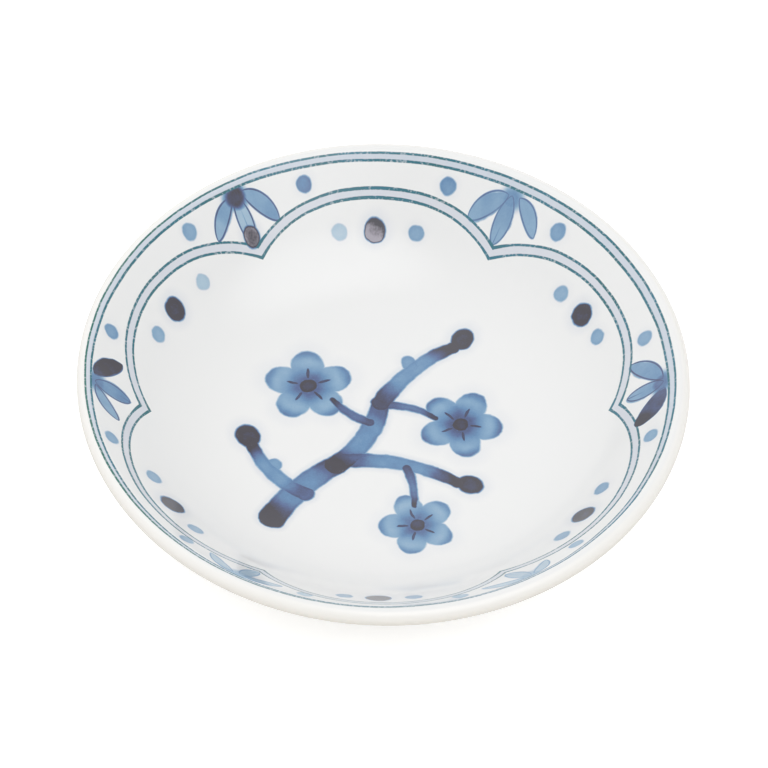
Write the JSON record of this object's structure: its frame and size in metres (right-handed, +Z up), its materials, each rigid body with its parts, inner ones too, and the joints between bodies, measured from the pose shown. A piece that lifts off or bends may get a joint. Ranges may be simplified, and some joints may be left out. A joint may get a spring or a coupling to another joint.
{
  "type": "small porcelain dish",
  "caption": "Small round porcelain condiment dish with a flat well, flared wall, full round lip, luted foot ring and clear glaze over cobalt brush painting.",
  "frame": {"origin": "centre of the circle that the foot ring stands on", "axes": "+Z up along the dish's axis of turning; +X and +Y across the dish"},
  "size_m": [0.1, 0.1, 0.024],
  "materials": {
    "porcelain": "bare fired clay, fine and matt",
    "painted_glaze": "clear gloss glaze over cobalt brush painting on white clay",
    "clear_glaze": "clear gloss glaze on white clay"
  },
  "bodies": {
    "root": {"dish_body": "porcelain", "foot_ring": "porcelain", "face_glaze": "painted_glaze", "back_glaze": "clear_glaze", "foot_well_glaze": "clear_glaze"}
  },
  "joints": []
}
